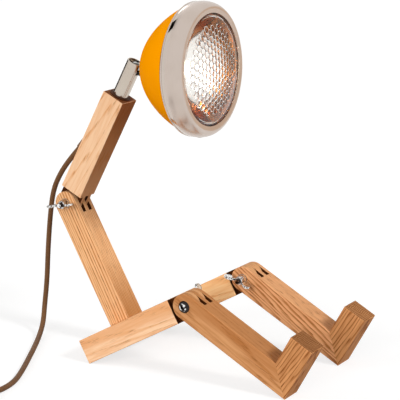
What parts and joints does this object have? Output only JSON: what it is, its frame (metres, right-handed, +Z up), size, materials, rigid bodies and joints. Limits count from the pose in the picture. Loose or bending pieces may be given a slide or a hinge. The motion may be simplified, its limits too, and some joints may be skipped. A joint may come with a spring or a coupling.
{
  "type": "robot shaped desk lamp",
  "caption": "Desk lamp of jointed wooden blocks seated like a figure, with a round headlamp that tilts and swivels on a short tube, clamped comb hinges, a textile cord, switch and plug.",
  "frame": {"origin": "on the table, under the middle of the lamp's outline without its cord", "axes": "+X where the figure faces, +Y its left, +Z up"},
  "size_m": [0.4039, 0.4769, 0.4008],
  "materials": {
    "ash": "oiled ash, open grain",
    "dowel_wood": "plain beech",
    "chrome": "polished",
    "nickel": "satin nickel plate",
    "zinc_steel": "zinc plate",
    "orange_enamel": "gloss enamel",
    "dark_bush": "matte nylon",
    "black_rubber": "matte",
    "brown_rubber": "matte",
    "lens_glass": "pressed honeycomb glass",
    "reflector": "vapour-plated aluminium",
    "ceramic": "glazed",
    "bulb": "opal",
    "lead_black": "smooth",
    "cord_textile": "braided textile",
    "tie": "matte strap",
    "brown_plastic": "moulded, semi-gloss"
  },
  "bodies": {
    "pelvis": {"pelvis_crossbar": "ash", "right_hip_arm": "ash", "left_hip_arm": "ash", "pelvis_dowels": "dowel_wood", "lower_torso_block": "ash", "torso_screw": "zinc_steel", "waist_bolt": "chrome", "waist_washer": "zinc_steel", "cord_run": "cord_textile", "cord_feed": "cord_textile", "cord_coil": "cord_textile", "cord_tail": "cord_textile", "coil_tie": "tie", "switch_base": "brown_plastic", "switch_top": "brown_plastic", "switch_screws": "zinc_steel", "plug_body": "brown_plastic", "plug_relief": "brown_plastic", "plug_pins": "nickel"},
    "upper_torso": {"upper_torso_block": "ash", "cord_gland": "brown_rubber", "neck_bush": "dark_bush", "inner_cable": "cord_textile", "cord_drop": "cord_textile"},
    "neck": {"neck_tube": "nickel", "neck_ring": "zinc_steel", "tilt_pin": "nickel", "head_lead": "lead_black"},
    "head": {"tilt_lug": "zinc_steel", "lug_nut": "zinc_steel", "head_shell": "orange_enamel", "bezel_ring": "nickel", "bezel_screw": "zinc_steel", "bezel_clips": "zinc_steel", "lens": "lens_glass", "lens_gasket": "black_rubber", "reflector": "reflector", "lamp_holder": "ceramic", "led_bulb": "bulb", "head_grommet": "black_rubber", "holder_wires": "lead_black"},
    "waist_nut": {"waist_wing_nut": "chrome"},
    "rocker": {"switch_rocker": "brown_plastic"},
    "right_leg": {"right_shin": "ash", "right_foot": "ash", "right_foot_dowels": "dowel_wood", "right_knee_bolt": "chrome", "right_knee_washer": "zinc_steel"},
    "right_nut": {"right_knee_wing_nut": "chrome"},
    "left_leg": {"left_shin": "ash", "left_foot": "ash", "left_foot_dowels": "dowel_wood", "left_knee_bolt": "chrome", "left_knee_washer": "zinc_steel"},
    "left_nut": {"left_knee_wing_nut": "chrome"}
  },
  "joints": [
    {"name": "waist_hinge", "type": "hinge", "parent": "pelvis", "child": "upper_torso", "pos_m": [-0.16463, 0, 0.16131], "axis": [0, 1, 0], "range_deg": [-56, 38], "deforming": ["cord_drop"]},
    {"name": "waist_nut_turn", "type": "hinge", "parent": "pelvis", "child": "waist_nut", "pos_m": [-0.16463, -0.02, 0.16131], "axis": [0, 1, 0], "continuous": true},
    {"name": "neck_swivel", "type": "hinge", "parent": "upper_torso", "child": "neck", "pos_m": [-0.09926, 0, 0.28961], "axis": [0.454, 0, 0.891], "range_deg": [-160, 160]},
    {"name": "head_tilt", "type": "hinge", "parent": "neck", "child": "head", "pos_m": [-0.08182, 0, 0.32383], "axis": [0, 1, 0], "range_deg": [-45, 35], "deforming": ["head_lead"]},
    {"name": "rocker_tilt", "type": "hinge", "parent": "pelvis", "child": "rocker", "pos_m": [-0.1223, -0.27678, 0.0115], "axis": [0.9929, -0.1193, 0], "range_deg": [-14, 0]},
    {"name": "right_knee", "type": "hinge", "parent": "pelvis", "child": "right_leg", "pos_m": [0.03036, -0.066, 0.08303], "axis": [0, 1, 0], "range_deg": [-58, 36]},
    {"name": "right_nut_turn", "type": "hinge", "parent": "right_leg", "child": "right_nut", "pos_m": [0.03036, -0.046, 0.08303], "axis": [0, 1, 0], "continuous": true},
    {"name": "left_knee", "type": "hinge", "parent": "pelvis", "child": "left_leg", "pos_m": [0.03036, 0.066, 0.08303], "axis": [0, 1, 0], "range_deg": [-58, 36]},
    {"name": "left_nut_turn", "type": "hinge", "parent": "left_leg", "child": "left_nut", "pos_m": [0.03036, 0.046, 0.08303], "axis": [0, 1, 0], "continuous": true}
  ]
}
